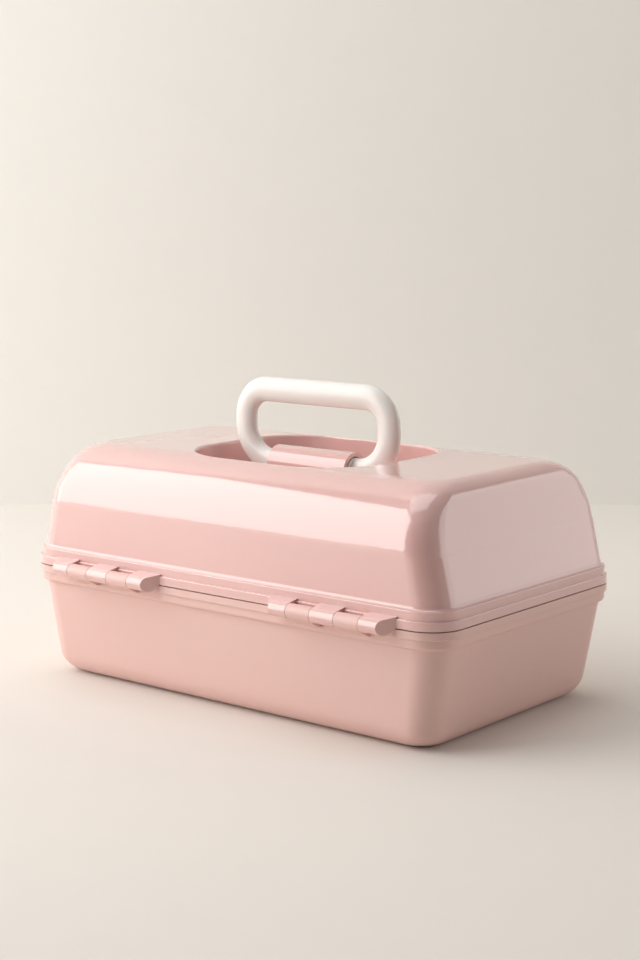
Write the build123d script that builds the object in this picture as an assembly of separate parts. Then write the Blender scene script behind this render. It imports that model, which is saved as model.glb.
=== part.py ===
from build123d import *
from math import cos, pi, radians, sin, sqrt, tan
import os

# Makeup storage case with handle. Millimetres, +Z up. The origin is the middle of the flat underside,
# the latch is at the front (-Y), the hinges are at the back (+Y) and the short ends face +X and -X.

# Overall case, over the widest strip of the rim
case_length = 330.0
case_depth = 193.0
case_height = 150.0
parting_height = 72.5
rim_gap = 0.7
wall = 2.5

# Rim: two stepped strips on each shell
rim_corner = 21.5
strip_step = 1.3
edge_round = 0.5
lid_strip_height = 5.3
lid_flare_height = 2.2
lid_flare_start = 20.0
lid_wall_inset = 3.8
base_lower_strip_height = 6.2
base_upper_strip_height = 4.6
base_strip_round = 2.2
base_wall_inset = 4.3
base_wall_overlap = 0.4

# Lid walls, above the rim
lid_end_draft = 13.5
lid_end_shoulder = 15.0
lid_side_draft = 1.5
lid_side_shoulder = 38.0
lid_foot_corner = 18.0
lid_top_corner = 15.5

# Base walls, below the rim
base_end_draft = 10.0
base_end_round = 13.0
base_side_draft = 4.0
base_side_round = 16.0
base_top_corner = 17.5
base_foot_corner = 15.0

# Locating lip that stands inside the lid's rim
lip_height = 4.0
lip_thickness = 1.8
lip_clearance = 0.4
lip_root = 8.0

# Hinges: lid knuckles at both ends and the middle, base knuckles between them
hinge_stand_off = 6.0
hinge_above_parting = 1.0
hinge_inset = 74.7
knuckle_pitch = 17.5
end_knuckle_length = 12.6
knuckle_radius = 4.5
knuckle_gap = 0.35
hinge_pin_radius = 1.5
hinge_cap = 1.4
hinge_pin_end_gap = 0.3
lid_gusset_rise = 6.5
hinge_fairing = 6.5
base_gusset_drop = 7.0
fixed_clearance = 0.02
running_clearance = 0.06

# Pocket in the lid's top and the handle that folds into it
pocket_length = 139.0
pocket_width = 122.0
pocket_corner = 40.0
pocket_depth = 20.0
pocket_draft = 3.0
pocket_edge_round = 1.8
pocket_edge_sweep = 75.0
pocket_floor_round = 4.0
handle_bar_height = 16.0
handle_bar_thickness = 10.0
handle_journal_radius = 8.3
handle_journal_reach = 1.0
handle_length = 131.6
handle_height = 62.6
handle_top_corner = 18.0
handle_bottom_corner = 24.0
handle_side_least = 0.1

# Saddle that traps the handle's lower run
saddle_length = 62.0
saddle_wall = 2.6
saddle_clearance = 0.6
saddle_above_top = 1.0
saddle_foot_reach = 9.0
saddle_foot_height = 6.0
saddle_foot_length = 12.0
saddle_foot_place = 24.0

# Screws
screw_radius = 1.4
screw_head_radius = 2.9
screw_head_height = 1.7
screw_clearance = 0.05
screw_slot_width = 0.8
screw_slot_depth = 0.8
pilot_spare = 0.2
screw_slot_reach = 1.8
saddle_screw_length = 7.0
mirror_screw_length = 9.0
arm_screw_length = 6.0

# Front latch
latch_width = 38.0
latch_stand_off = 5.5
latch_above_parting = 8.0
latch_barrel_radius = 3.2
latch_plate = 2.4
latch_drop = 25.0
latch_tab_reach = 4.0
latch_tab_root = 3.0
latch_tab_drop = 2.0
latch_pin_radius = 1.0
latch_ear_width = 4.0
latch_ear_gap = 0.4
catch_below_parting = 4.6
catch_height = 1.8
catch_reach = 1.6
catch_root = 1.0
nib_clearance = 0.35
nib_height = 2.2
nib_root = 0.5
nib_slope = 1.0
nib_end_inset = 2.0

# Mirror, on four bosses under the lid's top
mirror_half_length = 82.0
mirror_half_depth = 52.0
mirror_corner = 10.0
mirror_thickness = 2.0
mirror_pocket_clearance = 0.3
mirror_lip = 3.0
mirror_lip_height = 1.2
mirror_frame_band = 14.0
mirror_frame_round = 1.0
mirror_boss_radius = 4.0
mirror_boss_y = 35.0
mirror_tape_thickness = 1.0
mirror_tape_length = 110.0
mirror_tape_width = 14.0
mirror_tape_place = 40.0

# Lifting linkage: lid arms and base arms stay parallel, so the trays stay level
crank_length = 70.0
lower_tray_share = 0.5
base_pivot_before_hinge = 82.5
base_pivot_below_hinge = 9.5
arm_half_width = 6.0
arm_thickness = 2.5
arm_inset = 16.0
open_pivot_clearance = 0.3
pivot_pin_radius = 2.0
pin_head_radius = 4.0
pin_head_height = 1.0
pin_head_gap = 0.2
lid_arm_mount_before_hinge = 51.5
lid_arm_mount_spread = 18.0
lid_arm_mount_above_parting = 25.5
arm_boss_radius = 4.0
arm_boss_gap = 0.1
boss_skin = 0.3
base_arm_boss_radius = 6.0
base_arm_boss_gap = 0.7
washer_thickness = 0.8
washer_radius = 4.0

# Trays
tray_wall = 2.0
upper_tray_corner = 12.0
tray_floor_round = 3.0
tray_divider = 1.6
tray_divider_drop = 4.0
upper_tray_arm_gap = 4.5
upper_tray_front_inset = 11.5
upper_tray_before_hinge = 34.5
upper_tray_below_parting = 10.5
upper_tray_height = 24.0
upper_tray_front_cells = 63.0
lower_tray_arm_gap = 1.5
lower_tray_front_inset = 12.5
lower_tray_before_hinge = 63.5
lower_tray_below_parting = 39.5
lower_tray_height = 24.0
lower_tray_corner = 16.0
lower_ear_half_width = 6.5
lower_strut_inset = 7.0

# Levels in a smooth turn and in the flare, and how far cuts run past the faces they open
turn_steps = 8
flare_steps = 4
overcut = 1.0

# Worked-out places
rim_face = case_depth / 2
strip_face = rim_face - strip_step
lid_bottom = parting_height + rim_gap / 2
base_top = parting_height - rim_gap / 2
lid_foot = lid_bottom + 2 * lid_strip_height + lid_flare_height
base_strip_foot = base_top - base_upper_strip_height - base_lower_strip_height
base_wall_top = base_strip_foot + base_wall_overlap
hinge_y = rim_face + hinge_stand_off
hinge_z = parting_height + hinge_above_parting
pocket_floor = case_height - pocket_depth
saddle_inner = handle_journal_radius + saddle_clearance
saddle_outer = saddle_inner + saddle_wall
handle_z = case_height + saddle_above_top - saddle_outer
saddle_foot_y = saddle_outer + saddle_foot_reach / 2
latch_y = -rim_face - latch_stand_off
latch_z = parting_height + latch_above_parting
frame_top = pocket_floor - wall
mirror_top = frame_top - mirror_tape_thickness
mirror_bottom = mirror_top - mirror_thickness
frame_bottom = mirror_bottom - mirror_lip_height
mirror_boss_x = mirror_half_length + mirror_frame_band / 2
hinge_centre = case_length / 2 - hinge_inset
arm_plane = case_length / 2 - arm_inset
arm_outer = arm_plane + arm_thickness
base_pivot_y = hinge_y - base_pivot_before_hinge
lid_arm_mount_y = hinge_y - lid_arm_mount_before_hinge
lid_arm_mount_height = parting_height + lid_arm_mount_above_parting
upper_tray_half_length = arm_plane - upper_tray_arm_gap
upper_tray_front = upper_tray_front_inset - rim_face
upper_tray_back = hinge_y - upper_tray_before_hinge
upper_tray_bottom = parting_height - upper_tray_below_parting
upper_tray_row = upper_tray_front + upper_tray_front_cells
lower_tray_half_length = arm_plane - lower_tray_arm_gap
lower_tray_front = lower_tray_front_inset - rim_face
lower_tray_back = hinge_y - lower_tray_before_hinge
lower_tray_bottom = parting_height - lower_tray_below_parting
base_pivot_z = hinge_z - base_pivot_below_hinge
lid_inner_inset = lid_wall_inset + wall
lip_outer_inset = lid_inner_inset + lip_clearance


def slab(inset, bottom, top, corner=None):
    """Rounded rectangular block, set in from the rim's outline."""
    radius = rim_corner - inset if corner is None else corner
    outline = RectangleRounded(case_length - 2 * inset, case_depth - 2 * inset, radius)
    return extrude(Pos(0, 0, bottom) * outline, amount=top - bottom)


def stack(*runs):
    """Block through runs of rounded rectangles: half length, half depth, corner radius, height.

    A run of two is a straight drafted wall, and a longer one is a smooth turn.
    """
    body = Part()
    for run in runs:
        rising = sorted(run, key=lambda level: level[3])
        outlines = [Pos(0, 0, z) * RectangleRounded(2 * a, 2 * b, r) for a, b, r, z in rising]
        body += loft(outlines, ruled=len(run) == 2)
    return body


def lean(rise, total, draft, turn):
    """How far a drafted wall leans in at a rise, where it turns into a flat through a radius."""
    tilt = radians(draft)
    centre = total - turn
    start = centre + turn * sin(tilt)
    if rise <= start:
        return rise * tan(tilt)
    height = min(max((rise - centre) / turn, -1.0), 1.0)
    return start * tan(tilt) + turn * (cos(tilt) - sqrt(1 - height * height))


def turn_rises(total, turn):
    """Rises for the levels of a wall's turn into its flat: even steps round the radius."""
    return [total - turn + turn * sin(pi / 2 * step / turn_steps) for step in range(turn_steps + 1)]


def lid_runs(skin):
    """The lid above its rim, moved inwards by skin: its straight wall, then its shoulder."""
    total = case_height - lid_foot - skin
    turn = max(lid_side_shoulder, lid_end_shoulder) - skin
    inset = lid_wall_inset + skin

    def level(rise):
        end = lean(rise, total, lid_end_draft, lid_end_shoulder - skin)
        side = lean(rise, total, lid_side_draft, lid_side_shoulder - skin)
        corner = lid_foot_corner + (lid_top_corner - lid_foot_corner) * rise / total - skin
        return case_length / 2 - inset - end, case_depth / 2 - inset - side, corner, lid_foot + rise

    return [level(0.0), level(total - turn)], [level(rise) for rise in turn_rises(total, turn)]


def base_runs(skin):
    """The base below its rim, moved inwards by skin: its straight wall, then its bottom round."""
    total = base_wall_top - skin
    turn = max(base_side_round, base_end_round) - skin
    inset = base_wall_inset + skin

    def level(drop):
        end = lean(drop, total, base_end_draft, base_end_round - skin)
        side = lean(drop, total, base_side_draft, base_side_round - skin)
        corner = base_top_corner + (base_foot_corner - base_top_corner) * drop / total - skin
        return case_length / 2 - inset - end, case_depth / 2 - inset - side, corner, base_wall_top - drop

    return [level(0.0), level(total - turn)], [level(drop) for drop in turn_rises(total, turn)]


def lid_end_x(height):
    """Outer face of the lid's end wall at a height."""
    rise = height - lid_foot
    leaning = lean(rise, case_height - lid_foot, lid_end_draft, lid_end_shoulder)
    return case_length / 2 - lid_wall_inset - leaning


def base_end_x(height):
    """Outer face of the base's end wall at a height."""
    drop = base_wall_top - height
    return case_length / 2 - base_wall_inset - lean(drop, base_wall_top, base_end_draft, base_end_round)


def rod_x(y, z, radius, start, end):
    """Round bar along X."""
    return extrude(Plane.YZ.offset(start) * Pos(y, z) * Circle(radius), amount=end - start)


def rod_z(x, y, radius, bottom, top):
    """Round bar along Z."""
    return extrude(Pos(x, y, bottom) * Circle(radius), amount=top - bottom)


def block(x0, x1, y0, y1, z0, z1):
    """Plain block between two corners."""
    centre = Pos((x0 + x1) / 2, (y0 + y1) / 2, (z0 + z1) / 2)
    return centre * Box(x1 - x0, y1 - y0, z1 - z0)


def plate_x(discs, corners, start, end):
    """Flat plate square to X: the outline that wraps round discs and corner points."""
    edges = []
    for y, z, radius in discs:
        edges += (Pos(y, z) * Circle(radius)).edges()
    for first, second in zip(corners, corners[1:]):
        edges.append(Edge.make_line((*first, 0), (*second, 0)))
    return extrude(Plane.YZ.offset(start) * make_hull(edges), amount=end - start)


def both_ends(piece):
    """A piece and its mirror image at the other end."""
    return [piece, mirror(piece, about=Plane.YZ)]


def group(pieces):
    """Separate solids kept in one node."""
    return Compound(children=[solid for piece in pieces for solid in piece.solids()])


def crank_point(pivot_y, pivot_z, share):
    """Point on a closed crank that lies towards the front of its pivot."""
    return pivot_y - crank_length * share, pivot_z


def knuckles():
    """Spans of the knuckles along X: lid spans, base spans, and each hinge's two ends."""
    lid_spans = []
    base_spans = []
    ends = []
    for centre in (-hinge_centre, hinge_centre):
        joints = [centre + knuckle_pitch * step for step in (-1.5, -0.5, 0.5, 1.5)]
        edges = [joints[0] - end_knuckle_length] + joints + [joints[-1] + end_knuckle_length]
        for index in range(5):
            gap_low = 0.0 if index == 0 else knuckle_gap / 2
            gap_high = 0.0 if index == 4 else knuckle_gap / 2
            span = (edges[index] + gap_low, edges[index + 1] - gap_high)
            (lid_spans if index % 2 == 0 else base_spans).append(span)
        ends.append((edges[0], edges[-1]))
    return lid_spans, base_spans, ends


def pocket(skin):
    """The handle pocket's space, or with skin the block that becomes its walls."""
    floor = pocket_floor - skin
    slope = tan(radians(pocket_draft))
    turn = pocket_floor_round + skin
    edge = pocket_edge_round if skin == 0 else 0.0

    def level(inset, z):
        return pocket_length / 2 - inset, pocket_width / 2 - inset, pocket_corner - inset, z

    def wall_inset(z):
        return (case_height - z) * slope - skin

    angles = [pi / 2 * step / turn_steps for step in range(turn_steps + 1)]
    low = [level(wall_inset(floor) + turn * (1 - sin(a)), floor + turn * (1 - cos(a))) for a in angles]
    sweep = radians(pocket_edge_sweep)
    shoulder = case_height - edge * sin(sweep)
    straight = [low[-1], level(wall_inset(shoulder), shoulder)]
    if edge == 0:
        return stack(low, straight)
    angles = [sweep * step / turn_steps for step in range(turn_steps + 1)]
    high = [level(wall_inset(shoulder) - edge * (1 - cos(a)), shoulder + edge * sin(a)) for a in angles]
    mouth = wall_inset(shoulder) - edge * (1 - cos(sweep))
    past = level(mouth - overcut * tan(sweep), case_height + overcut)
    return stack(low, straight, high, [high[-1], past])


def lid_arm_mounts():
    """Places of a lid arm's two screws."""
    half = lid_arm_mount_spread / 2
    return [(lid_arm_mount_y - half, lid_arm_mount_height), (lid_arm_mount_y + half, lid_arm_mount_height)]


def saddle_screw_places():
    return [(x, y) for x in (-saddle_foot_place, saddle_foot_place) for y in (-saddle_foot_y, saddle_foot_y)]


def lid_rim():
    """Two stepped strips and the flare that runs up into the wall."""
    lower = slab(0, lid_bottom, lid_bottom + lid_strip_height)
    lower = fillet(lower.edges().group_by(Axis.Z)[-1], edge_round)
    upper = slab(strip_step, lid_bottom, lid_bottom + 2 * lid_strip_height)
    upper = fillet(upper.edges().group_by(Axis.Z)[-1], edge_round)
    top = lid_bottom + 2 * lid_strip_height
    reach = lid_wall_inset - strip_step - edge_round
    corner_change = lid_foot_corner - rim_corner + lid_wall_inset
    first = radians(lid_flare_start)
    rings = []
    for step in range(flare_steps + 1):
        angle = first + (pi / 2 - first) * step / flare_steps
        inset = strip_step + edge_round + reach * sin(angle)
        corner = rim_corner - inset + corner_change * step / flare_steps
        height = top + lid_flare_height * (1 - cos(angle))
        rings.append((case_length / 2 - inset, rim_face - inset, corner, height))
    foot = (*rings[0][:3], top - overcut)
    return lower + upper + stack([foot, rings[0]], rings)


def lid_shell():
    """Lid: stepped rim, drafted walls, big long shoulders, handle pocket, hinge knuckles and bosses."""
    body = lid_rim() + stack(*lid_runs(0))
    cavity = slab(lid_inner_inset, lid_bottom - overcut, lid_foot, lid_foot_corner - wall)
    cavity += stack(*lid_runs(wall))
    body -= cavity - pocket(wall)
    body -= pocket(0)

    lid_spans, base_spans, ends = knuckles()
    for start, end in lid_spans:
        body += lid_knuckle(start, end)
    for low, high in ends:
        body += hinge_end(low, -1) + hinge_end(high, 1)
        bore_end = high + hinge_fairing
        body -= rod_x(hinge_y, hinge_z, hinge_pin_radius + running_clearance, low + hinge_cap, bore_end)

    inner_ear = latch_width / 2 + latch_ear_gap
    ear = plate_x(
        [(latch_y, latch_z, latch_barrel_radius)],
        [(-strip_face, lid_bottom + edge_round), (-strip_face, lid_bottom + 2 * lid_strip_height)],
        inner_ear,
        inner_ear + latch_ear_width,
    )
    for piece in both_ends(ear):
        body += piece
    reach = inner_ear + latch_ear_width + overcut
    body -= rod_x(latch_y, latch_z, latch_pin_radius + fixed_clearance, -reach, reach)

    ceiling = case_height - wall / 2
    for x in (-mirror_boss_x, mirror_boss_x):
        for y in (-mirror_boss_y, mirror_boss_y):
            body += rod_z(x, y, mirror_boss_radius, frame_top, ceiling)
            hole_top = frame_bottom + mirror_screw_length + pilot_spare
            body -= rod_z(x, y, screw_radius + screw_clearance, frame_top, hole_top)
    for y, z in lid_arm_mounts():
        boss_end = lid_end_x(z + arm_boss_radius) - boss_skin
        for piece in both_ends(rod_x(y, z, arm_boss_radius, arm_outer + arm_boss_gap, boss_end)):
            body += piece
        pilot_end = arm_plane + arm_screw_length + pilot_spare
        for piece in both_ends(rod_x(y, z, screw_radius + screw_clearance, arm_outer, pilot_end)):
            body -= piece
    for x, y in saddle_screw_places():
        body -= saddle_screw_hole(x, y, pocket_floor + overcut)
    return body


def lid_knuckle(start, end):
    """One of the lid's knuckles with the gusset that joins it to the rim."""
    wedge = [(rim_face, lid_bottom), (strip_face, lid_bottom + lid_gusset_rise)]
    return plate_x([(hinge_y, hinge_z, knuckle_radius)], wedge, start, end)


def hinge_end(x, side):
    """Slanted end of a hinge: the last knuckle runs on at the rim and is cut back towards its tip."""
    far = x + side * hinge_fairing
    tip = hinge_y + knuckle_radius
    piece = lid_knuckle(min(x, far), max(x, far))
    beyond = far + side * overcut
    corners = [(x, tip), (far, rim_face), (beyond, rim_face), (beyond, tip + overcut), (x, tip + overcut)]
    outline = make_face(Polyline(*corners, close=True))
    return piece - extrude(Pos(0, 0, hinge_z - 2 * knuckle_radius) * outline, amount=4 * knuckle_radius)


def saddle_screw_hole(x, y, top):
    """Countersunk hole up through the pocket's floor."""
    bottom = pocket_floor - wall
    shank = rod_z(x, y, screw_radius + screw_clearance, bottom, top)
    return shank + cone_z(x, y, screw_head_radius + screw_clearance, screw_radius, bottom, screw_head_height)


def cone_z(x, y, bottom_radius, top_radius, bottom, height):
    """Tapered round along Z."""
    low = Pos(x, y, bottom) * Circle(bottom_radius)
    high = Pos(x, y, bottom + height) * Circle(top_radius)
    return loft([low, high], ruled=True)


def base_shell():
    """Base: stepped rim, drafted walls, flat underside, lip, hinge knuckles, catch and arm bosses."""
    upper = slab(0, base_top - base_upper_strip_height, base_top)
    upper = fillet(upper.edges().group_by(Axis.Z)[0], edge_round)
    lower = slab(strip_step, base_strip_foot, base_top)
    lower = fillet(lower.edges().group_by(Axis.Z)[0], base_strip_round)
    body = upper + lower + stack(*base_runs(0))
    base_inner_inset = base_wall_inset + wall
    body -= slab(base_inner_inset, base_wall_top, base_top + overcut, base_top_corner - wall)
    body -= stack(*base_runs(wall))
    lip = slab(lip_outer_inset, base_top - lip_root, base_top + lip_height)
    lip_inner_inset = lip_outer_inset + lip_thickness
    lip -= slab(lip_inner_inset, base_top - lip_root - overcut, base_top + lip_height + overcut)
    body += lip

    lid_spans, base_spans, ends = knuckles()
    low_root = base_top - base_gusset_drop
    high_root = base_top - edge_round
    for start, end in base_spans:
        body += plate_x(
            [(hinge_y, hinge_z, knuckle_radius)], [(rim_face, high_root), (rim_face, low_root)], start, end
        )
        body += block(start, end, strip_face - wall / 2, rim_face, low_root, high_root)
    for low, high in ends:
        body -= rod_x(hinge_y, hinge_z, hinge_pin_radius + fixed_clearance, low, high)

    half_catch = latch_width / 2 - latch_ear_gap
    body += plate_x([], catch_outline(-rim_face, base_top - catch_below_parting), -half_catch, half_catch)

    for piece in both_ends(base_arm_boss()):
        body += piece
    pin_end = base_end_x(base_pivot_z) - wall
    bore = rod_x(base_pivot_y, base_pivot_z, pivot_pin_radius + fixed_clearance, arm_outer, pin_end)
    for piece in both_ends(bore):
        body -= piece
    return body


def catch_outline(face, z):
    """Ridge that the latch's nib snaps under."""
    return [
        (face + strip_step + catch_root, z + catch_height),
        (face - catch_reach, z + catch_height / 2),
        (face - catch_reach, z - catch_height / 2),
        (face + strip_step + catch_root, z - catch_height),
    ]


def base_arm_boss():
    """Boss inside the base's end that carries a base arm's pin."""
    end = base_end_x(base_pivot_z - base_arm_boss_radius) - boss_skin
    return rod_x(base_pivot_y, base_pivot_z, base_arm_boss_radius, arm_outer + base_arm_boss_gap, end)


def hinge_pin(index):
    """Steel pin of one hinge; its far end is hidden by the capped knuckle."""
    low, high = knuckles()[2][index]
    start = low + hinge_cap + hinge_pin_end_gap
    return rod_x(hinge_y, hinge_z, hinge_pin_radius, start, high - hinge_pin_end_gap)


def handle():
    """Closed loop of oval bar that stands on its lower run, which is round where the saddle holds it."""
    half = (handle_length - handle_bar_height) / 2
    height = handle_height - handle_bar_height
    low_corner = handle_bottom_corner
    high_corner = min(handle_top_corner, height - low_corner - handle_side_least)
    level_section = Ellipse(handle_bar_thickness / 2, handle_bar_height / 2)
    upright_section = Ellipse(handle_bar_height / 2, handle_bar_thickness / 2)
    loop = Part()
    for z, corner in ((0.0, low_corner), (height, high_corner)):
        flat = half - corner
        loop += extrude(Plane.YZ.offset(-flat) * Pos(0, z) * level_section, amount=2 * flat)
    for sign in (-1, 1):
        upright = Pos(sign * half, 0, low_corner) * upright_section
        loop += extrude(upright, amount=height - low_corner - high_corner)
        for z, corner, turn in ((low_corner, low_corner, -1), (height - high_corner, high_corner, 1)):
            section = Plane.XY.offset(z) * Pos(sign * half, 0) * upright_section
            axis = Axis((sign * (half - corner), 0, z), (0, -sign * turn, 0))
            loop += revolve(section, axis, 90)
    journal = saddle_length / 2 + handle_journal_reach
    loop += rod_x(0, 0, handle_journal_radius, -journal, journal)
    return Pos(0, 0, handle_z) * loop


def handle_saddle():
    """Half pipe over the handle's lower run, on screwed feet."""
    half = saddle_length / 2
    legs = saddle_outer
    arch = rod_x(0, handle_z, saddle_outer, -half, half)
    arch += block(-half, half, -legs, legs, pocket_floor, handle_z)
    arch &= block(-half, half, -legs, legs, pocket_floor, handle_z + legs)
    reach = half + overcut
    bore = rod_x(0, handle_z, saddle_inner, -reach, reach)
    bore += block(-reach, reach, -saddle_inner, saddle_inner, pocket_floor - overcut, handle_z)
    body = arch
    for x, y in saddle_screw_places():
        inner = abs(y) - saddle_foot_reach / 2 - saddle_wall / 2
        outer = abs(y) + saddle_foot_reach / 2
        sign = 1 if y > 0 else -1
        low, high = sorted((sign * inner, sign * outer))
        ends = saddle_foot_length / 2
        foot = block(x - ends, x + ends, low, high, pocket_floor, pocket_floor + saddle_foot_height)
        body += foot
    body -= bore
    for x, y in saddle_screw_places():
        top = pocket_floor - wall + saddle_screw_length + pilot_spare
        body -= rod_z(x, y, screw_radius + screw_clearance, pocket_floor - overcut, top)
    return body


def cross_slot(x, y, z):
    """Cross recess in the underside of a screw's head."""
    half = screw_slot_width / 2
    top = z + screw_slot_depth
    first = block(x - screw_slot_reach, x + screw_slot_reach, y - half, y + half, z, top)
    return first + block(x - half, x + half, y - screw_slot_reach, y + screw_slot_reach, z, top)


def countersunk_screw(x, y, head_face, length):
    """Screw driven upwards, its flat head flush with head_face."""
    head = cone_z(x, y, screw_head_radius, screw_radius, head_face, screw_head_height)
    return head + rod_z(x, y, screw_radius, head_face, head_face + length) - cross_slot(x, y, head_face)


def saddle_screws():
    bottom = pocket_floor - wall
    return group([countersunk_screw(x, y, bottom, saddle_screw_length) for x, y in saddle_screw_places()])


def mirror_outline(grow):
    """The glass's outline, moved outwards by grow."""
    length = 2 * (mirror_half_length + grow)
    return RectangleRounded(length, 2 * (mirror_half_depth + grow), mirror_corner + grow)


def mirror_frame():
    """Bezel that holds the mirror glass up against the pocket's underside."""
    grow = mirror_frame_band
    outer = RectangleRounded(
        2 * (mirror_half_length + grow), 2 * (mirror_half_depth + grow / 2), mirror_corner + grow / 2
    )
    body = extrude(Pos(0, 0, frame_bottom) * outer, amount=frame_top - frame_bottom)
    body = fillet(body.edges().group_by(Axis.Z)[0], mirror_frame_round)
    seat = mirror_outline(mirror_pocket_clearance)
    body -= extrude(Pos(0, 0, mirror_bottom) * seat, amount=frame_top - mirror_bottom)
    window = mirror_outline(-mirror_lip)
    body -= extrude(Pos(0, 0, frame_bottom - overcut) * window, amount=frame_top - frame_bottom + 2 * overcut)
    for x in (-mirror_boss_x, mirror_boss_x):
        for y in (-mirror_boss_y, mirror_boss_y):
            hole = screw_radius + screw_clearance
            body -= rod_z(x, y, hole, frame_bottom - overcut, frame_top + overcut)
            seat_radius = screw_head_radius + screw_clearance
            body -= cone_z(x, y, seat_radius, screw_radius, frame_bottom, screw_head_height)
    return body


def mirror_glass():
    return extrude(Pos(0, 0, mirror_bottom) * mirror_outline(0.0), amount=mirror_thickness)


def mirror_tape():
    """Foam strips between the glass and the pocket's underside."""
    strips = []
    for y in (-mirror_tape_place, mirror_tape_place):
        half = mirror_tape_length / 2
        low = y - mirror_tape_width / 2
        strips.append(block(-half, half, low, low + mirror_tape_width, mirror_top, frame_top))
    return group(strips)


def mirror_screws():
    places = [(x, y) for x in (-mirror_boss_x, mirror_boss_x) for y in (-mirror_boss_y, mirror_boss_y)]
    return group([countersunk_screw(x, y, frame_bottom, mirror_screw_length) for x, y in places])


def tray_points(share):
    """A tray's two pivots on one end: on the lid arm and on the base arm."""
    return crank_point(hinge_y, hinge_z, share), crank_point(base_pivot_y, base_pivot_z, share)


def arm_places():
    """Lid-arm pivots and base-arm pivots, outer tray first."""
    upper_lid, upper_base = tray_points(1.0)
    lower_lid, lower_base = tray_points(lower_tray_share)
    return (upper_lid, lower_lid), (upper_base, lower_base)


def lid_arm():
    """Flat arm screwed to the lid's end; both trays hang from it."""
    pivots = arm_places()[0]
    discs = [(y, z, arm_half_width) for y, z in pivots]
    discs += [(y, z, arm_half_width) for y, z in lid_arm_mounts()]
    body = plate_x(discs, [], arm_plane, arm_outer)
    for y, z in pivots:
        body -= rod_x(y, z, pivot_pin_radius + running_clearance, arm_plane - overcut, arm_outer + overcut)
    for y, z in lid_arm_mounts():
        body -= rod_x(y, z, screw_radius + screw_clearance, arm_plane - overcut, arm_outer + overcut)
    return body


def base_arm():
    """Flat arm from the base's pin to both trays."""
    pivots = arm_places()[1]
    discs = [(y, z, arm_half_width) for y, z in (*pivots, (base_pivot_y, base_pivot_z))]
    body = plate_x(discs, [], arm_plane, arm_outer)
    low = arm_plane - overcut
    high = arm_outer + overcut
    for y, z in pivots:
        body -= rod_x(y, z, pivot_pin_radius + open_pivot_clearance, low, high)
    return body - rod_x(base_pivot_y, base_pivot_z, pivot_pin_radius + running_clearance, low, high)


def base_arm_pins():
    """Pins pressed into the base's end bosses; each carries its arm and its washer."""
    end = base_end_x(base_pivot_z) - wall
    start = arm_plane - pin_head_gap - washer_thickness
    return group(both_ends(rod_x(base_pivot_y, base_pivot_z, pivot_pin_radius, start, end)))


def base_arm_washers():
    """Push-on washers that keep the base arms on their pins."""
    start = arm_plane - pin_head_gap - washer_thickness
    ring = rod_x(base_pivot_y, base_pivot_z, washer_radius, start, start + washer_thickness)
    ring -= rod_x(base_pivot_y, base_pivot_z, pivot_pin_radius + fixed_clearance, start - overcut, arm_plane)
    return group(both_ends(ring))


def lid_arm_screws():
    """Pan-head screws from inside through the lid arms into the lid's bosses."""
    screws = []
    start = arm_plane - screw_head_height
    slot_end = start + screw_slot_depth
    half = screw_slot_width / 2
    reach = screw_slot_reach
    for y, z in lid_arm_mounts():
        shank = rod_x(y, z, screw_radius, arm_plane, arm_plane + arm_screw_length)
        head = rod_x(y, z, screw_head_radius, start, arm_plane)
        slots = block(start, slot_end, y - reach, y + reach, z - half, z + half)
        slots += block(start, slot_end, y - half, y + half, z - reach, z + reach)
        screws += both_ends(shank + head - slots)
    return group(screws)


def tray_pins(share, inner_face):
    """Shoulder rivets fixed in a tray's ends, headed outside the arms."""
    head_start = arm_outer + pin_head_gap
    pins = []
    for y, z in tray_points(share):
        shank = rod_x(y, z, pivot_pin_radius, inner_face, head_start)
        head = rod_x(y, z, pin_head_radius, head_start, head_start + pin_head_height)
        pins += both_ends(shank + head)
    return group(pins)


def tray_tub(half_length, front, back, bottom, height, corner):
    """Open tub with rounded upright corners and a rounded floor edge."""
    centre = (front + back) / 2
    outline = RectangleRounded(2 * half_length, back - front, corner)
    tub = extrude(Pos(0, centre, bottom) * outline, amount=height)
    tub = fillet(tub.edges().group_by(Axis.Z)[0], tray_floor_round)
    space = RectangleRounded(
        2 * (half_length - tray_wall), back - front - 2 * tray_wall, corner - tray_wall
    )
    hollow = extrude(Pos(0, centre, bottom + tray_wall) * space, amount=height)
    hollow = fillet(hollow.edges().group_by(Axis.Z)[0], tray_floor_round - tray_wall / 2)
    return tub - hollow


def cross_divider(x, front, back, bottom, height):
    """Divider that runs from front to back."""
    half = tray_divider / 2
    return block(x - half, x + half, front, back, bottom, bottom + height - tray_divider_drop)


def pierce_ends(body, share, half_length):
    """The tray with holes for its pivot pins through both ends."""
    low = half_length - tray_wall - overcut
    for y, z in tray_points(share):
        for piece in both_ends(rod_x(y, z, pivot_pin_radius + fixed_clearance, low, half_length + overcut)):
            body -= piece
    return body


def upper_tray():
    """Upper tray: four small front cells and two long rear ones."""
    bottom = upper_tray_bottom
    half_length = upper_tray_half_length
    height = upper_tray_height
    body = tray_tub(half_length, upper_tray_front, upper_tray_back, bottom, height, upper_tray_corner)
    front = upper_tray_front + tray_wall / 2
    back = upper_tray_back - tray_wall / 2
    floor = bottom + tray_wall / 2
    height -= tray_wall / 2
    end = upper_tray_half_length - tray_wall / 2
    half = tray_divider / 2
    divider_top = floor + height - tray_divider_drop
    body += block(-end, end, upper_tray_row - half, upper_tray_row + half, floor, divider_top)
    for x in (-upper_tray_half_length / 2, 0.0, upper_tray_half_length / 2):
        body += cross_divider(x, front, upper_tray_row, floor, height)
    body += cross_divider(0.0, upper_tray_row, back, floor, height)
    return pierce_ends(body, 1.0, upper_tray_half_length)


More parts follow.
